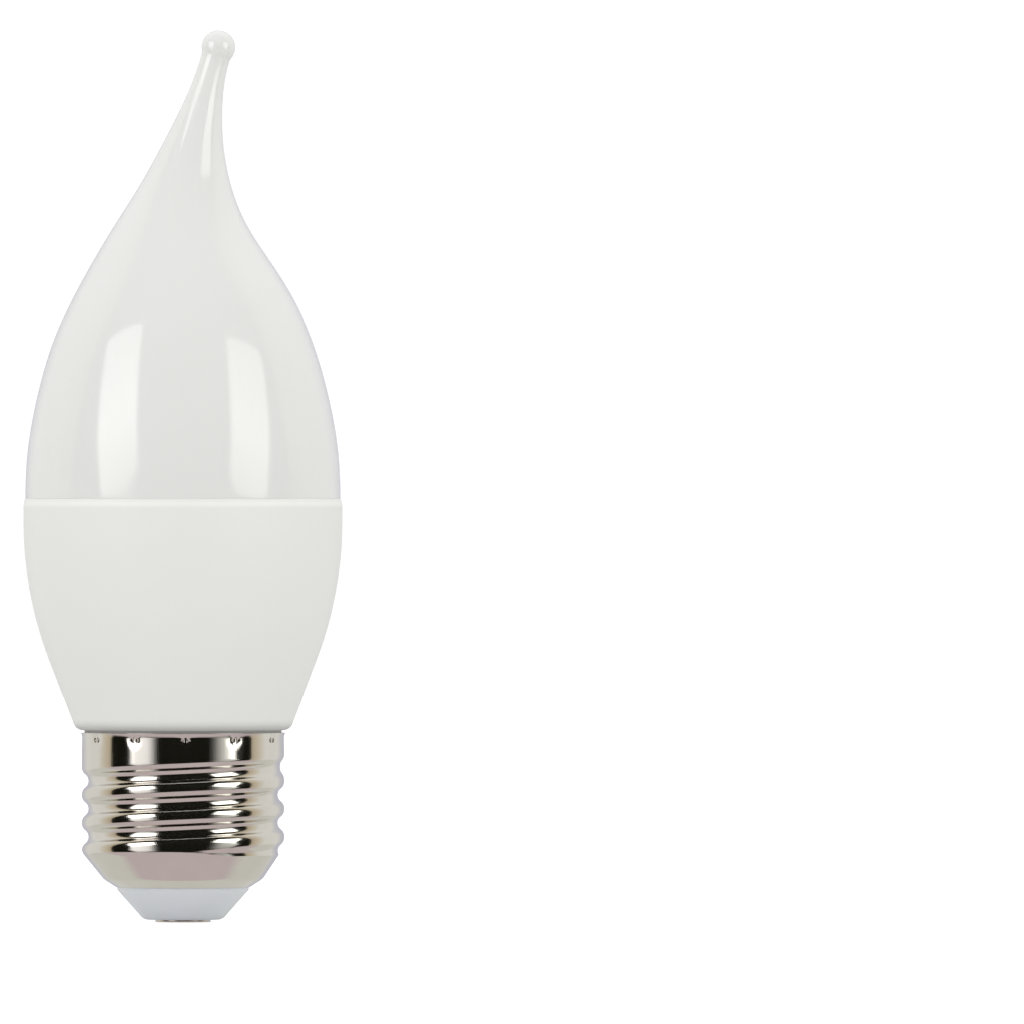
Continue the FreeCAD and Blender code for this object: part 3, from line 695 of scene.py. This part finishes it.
# The camera stands three metres in front and looks a little down on the lamp, which is left of its middle.
# One picture width covers a known width at the lamp's axis, which gives the lens.

PICTURE_PIXELS = 1024
PIXELS_PER_MM = 7.7
AXIS_PIXEL = 183
ORIGIN_PIXEL = 922
CAMERA_DISTANCE = 3.0
CAMERA_TILT = math.radians(0.1)
SENSOR_WIDTH = 36

middle_aside = (PICTURE_PIXELS / 2 - AXIS_PIXEL) / PIXELS_PER_MM * MM
middle_height = (ORIGIN_PIXEL - PICTURE_PIXELS / 2) / PIXELS_PER_MM * MM
camera_yaw = math.asin(middle_aside / CAMERA_DISTANCE)
camera_depth = CAMERA_DISTANCE * math.cos(camera_yaw)
bpy.ops.object.camera_add(
    location=(0, -CAMERA_DISTANCE, middle_height + camera_depth * math.tan(CAMERA_TILT)),
    rotation=(math.pi / 2 - CAMERA_TILT, 0, -camera_yaw),
)
camera = bpy.context.object
camera.data.sensor_width = SENSOR_WIDTH
camera.data.lens = SENSOR_WIDTH * PIXELS_PER_MM / MM * camera_depth / math.cos(CAMERA_TILT) / PICTURE_PIXELS
bpy.context.scene.camera = camera

# Two tall softboxes stand in front, one to each side, their tops leaning apart. The gloss and the nickel show
# them as bars, brighter above, with soft edges, and the softboxes throw only a mild light on the rest.

BOX_DISTANCE = 0.5
BOX_CENTRE_HEIGHT = 68 * MM
BOX_TURN = {-1: math.radians(53.8), 1: math.radians(56.1)}
BOX_RISE = {-1: math.radians(14.8), 1: math.radians(12.9)}
BOX_LEAN = {-1: math.radians(20.5), 1: math.radians(19)}
BOX_WIDTH = {-1: 0.717 * BOX_DISTANCE, 1: 0.774 * BOX_DISTANCE}
BOX_BELOW = 0.75 * BOX_DISTANCE
BOX_ABOVE = {-1: 0.48 * BOX_DISTANCE, 1: 0.41 * BOX_DISTANCE}
BOX_LEVEL = {-1: 4.6, 1: 4.0}
BOX_MILD_SHARE = 0.25
BOX_LOW_TOP = 0.34
BOX_HIGH_FOOT = 0.4
EDGE_FADE = 0.117
INNER_FADE_LOW = {-1: 0.39, 1: 0.54}
OUTER_FADE_LOW = 0.2
BOX_NARROWING = {-1: 0.128, 1: 0.19}
BOX_LEVEL_LOW = {-1: 0.27, 1: 0.18}
BOX_LEVELS_LOW = [(0, 0.5), (0.3, 1), (BOX_LOW_TOP, 1)]
BOX_LEVELS_HIGH = [(0.38, 0.6), (0.46, 0.76), (0.67, 1), (0.87, 0.72), (1, 0.6)]
BLACK = (0, 0, 0, 1)
BOX_TINT = {-1: (1, 0.99, 0.97, 1), 1: (0.99, 1, 0.94, 1)}

lamp_middle = Vector((0, 0, BOX_CENTRE_HEIGHT))
for side in (-1, 1):
    turned, rise = side * BOX_TURN[side], BOX_RISE[side]
    towards = Vector((math.sin(turned) * math.cos(rise), -math.cos(turned) * math.cos(rise), math.sin(rise)))
    facing = towards.to_track_quat("Z", "Y") @ Quaternion((0, 0, 1), -side * BOX_LEAN[side])
    middle_above = (BOX_ABOVE[side] - BOX_BELOW) / 2
    place = lamp_middle + towards * BOX_DISTANCE + facing @ Vector((0, middle_above, 0))
    bpy.ops.mesh.primitive_plane_add(size=1, location=place, rotation=facing.to_euler())
    softbox = bpy.context.object
    softbox.name = "softbox_left" if side < 0 else "softbox_right"
    softbox.scale = (BOX_WIDTH[side], BOX_ABOVE[side] + BOX_BELOW, 1)
    softbox.visible_camera = False
    glow = Finish(softbox.name)
    on_box = glow.node("ShaderNodeTexCoord", result="Object")
    outwards = glow.node("ShaderNodeSeparateXYZ", Vector=on_box) * side
    upwards = glow.node("ShaderNodeSeparateXYZ", result=1, Vector=on_box) + 0.5
    high = glow.rise(upwards, BOX_LOW_TOP, BOX_HIGH_FOOT, kind="LINEAR")
    inner_width = (1 - high) * (INNER_FADE_LOW[side] - EDGE_FADE) + EDGE_FADE
    outer_width = (1 - high) * (OUTER_FADE_LOW - EDGE_FADE) + EDGE_FADE
    inner_fade = glow.rise(outwards + 0.5, 0.0, inner_width)
    outer_fade = glow.rise(0.5 - outwards - high * BOX_NARROWING[side], 0.0, outer_width)
    levels = [(part, level * BOX_LEVEL_LOW[side]) for part, level in BOX_LEVELS_LOW] + BOX_LEVELS_HIGH
    stops = [(part, (level, level, level, 1)) for part, level in levels]
    dimming = glow.node("ShaderNodeValToRGB", {"stops": stops}, Fac=upwards)
    glossy = glow.node("ShaderNodeLightPath", result="Is Glossy Ray")
    share = inner_fade * outer_fade * dimming * (glossy * (1 - BOX_MILD_SHARE) + BOX_MILD_SHARE)
    colour = glow.mixed(share, BLACK, BOX_TINT[side])
    glow.coat(softbox, Base_Color=BLACK, Emission_Color=colour, Emission_Strength=BOX_LEVEL[side])

# The room looks white to the camera and throws an even light, a little stronger from the front. What the
# gloss and the nickel show of it is darker: a dark room behind the camera, a beige wall at the sides, a pale
# backdrop, and a lilac table below.

FRONT_LIGHT = (1.31, 1.315, 1.30, 1)
BACK_LIGHT = (1.02, 1.025, 1.02, 1)
DARK_ROOM = (0.008, 0.008, 0.005, 1)
BEIGE_DEEP = (0.60, 0.52, 0.39, 1)
BEIGE = (0.74, 0.67, 0.54, 1)
BACKDROP = (0.88, 0.88, 0.84, 1)
BACKDROP_EDGE = (0.58, 0.58, 0.65, 1)
TABLE_LILAC = (0.66, 0.575, 0.58, 1)
TABLE_PALE = (0.74, 0.745, 0.69, 1)
WHITE = (1.05, 1.05, 1.05, 1)
ROOM_SKEW = 0.022
ROOM_STOPS = [
    (0.49, DARK_ROOM), (0.512, BEIGE_DEEP), (0.6, BEIGE), (0.7, BACKDROP), (0.9, BACKDROP), (1, BACKDROP_EDGE)
]
TABLE_STOPS = [(0.565, TABLE_LILAC), (0.635, TABLE_PALE)]
TABLE_EDGE = (-0.28, -0.36)


class Surroundings(Finish):
    """The world's node tree, built with the same methods as a finish."""

    def __init__(self, world):
        world.use_nodes = True
        self.tree = world.node_tree
        self.tree.nodes.clear()
        self.surface = self.tree.nodes.new("ShaderNodeBackground")
        output = self.tree.nodes.new("ShaderNodeOutputWorld")
        self.tree.links.new(self.surface.outputs[0], output.inputs["Surface"])


world = bpy.data.worlds.new("studio")
bpy.context.scene.world = world
studio = Surroundings(world)
direction = studio.node("ShaderNodeTexCoord", result="Generated")
rightwards = studio.node("ShaderNodeSeparateXYZ", Vector=direction)
away = studio.node("ShaderNodeSeparateXYZ", result=1, Vector=direction) * 0.5 + 0.5
upwards = studio.node("ShaderNodeSeparateXYZ", result=2, Vector=direction)
room = studio.node("ShaderNodeValToRGB", {"stops": ROOM_STOPS}, Fac=away + (rightwards + 1) * ROOM_SKEW)
table = studio.node("ShaderNodeValToRGB", {"stops": TABLE_STOPS}, Fac=away)
table_share = studio.rise(upwards, *TABLE_EDGE, kind="LINEAR")
shown = studio.mixed(table_share, room, table)
light = studio.mixed(away, FRONT_LIGHT, BACK_LIGHT)
mirrored = studio.node("ShaderNodeLightPath", result="Is Glossy Ray")
seen = studio.node("ShaderNodeLightPath", result="Is Camera Ray")
colour = studio.mixed(seen, studio.mixed(mirrored, light, shown), WHITE)
studio.feed(studio.surface.inputs["Color"], colour)

# The floor is a plain white table that glows a little. It looks white to the camera, apart from the lamp's
# shadow. The nickel shows the room's lilac table in its place, and from below it isn't there.

FLOOR_SIZE = 6.0
FLOOR_WHITE = (0.76, 0.76, 0.755, 1)
FLOOR_GLOW_SEEN = 0.6
FLOOR_GLOW = (0.08, 0.08, 0.08, 1)
FLOOR_ROUGHNESS = 0.9

bpy.ops.mesh.primitive_plane_add(size=FLOOR_SIZE, location=(0, 0, cad_box[0].z))
floor = bpy.context.object
floor.name = "floor"
table_top = Finish("table_top")
camera_ray = table_top.node("ShaderNodeLightPath", result="Is Camera Ray")
glossy_ray = table_top.node("ShaderNodeLightPath", result="Is Glossy Ray")
from_below = table_top.node("ShaderNodeNewGeometry", result="Backfacing")
table_top.coat(
    floor,
    Base_Color=FLOOR_WHITE,
    Roughness=FLOOR_ROUGHNESS,
    Specular_IOR_Level=0.0,
    Emission_Color=table_top.mixed(camera_ray, FLOOR_GLOW, WHITE),
    Emission_Strength=FLOOR_GLOW_SEEN,
    Alpha=(1 - glossy_ray) * (1 - from_below),
)

bpy.context.scene.view_settings.view_transform = "Standard"
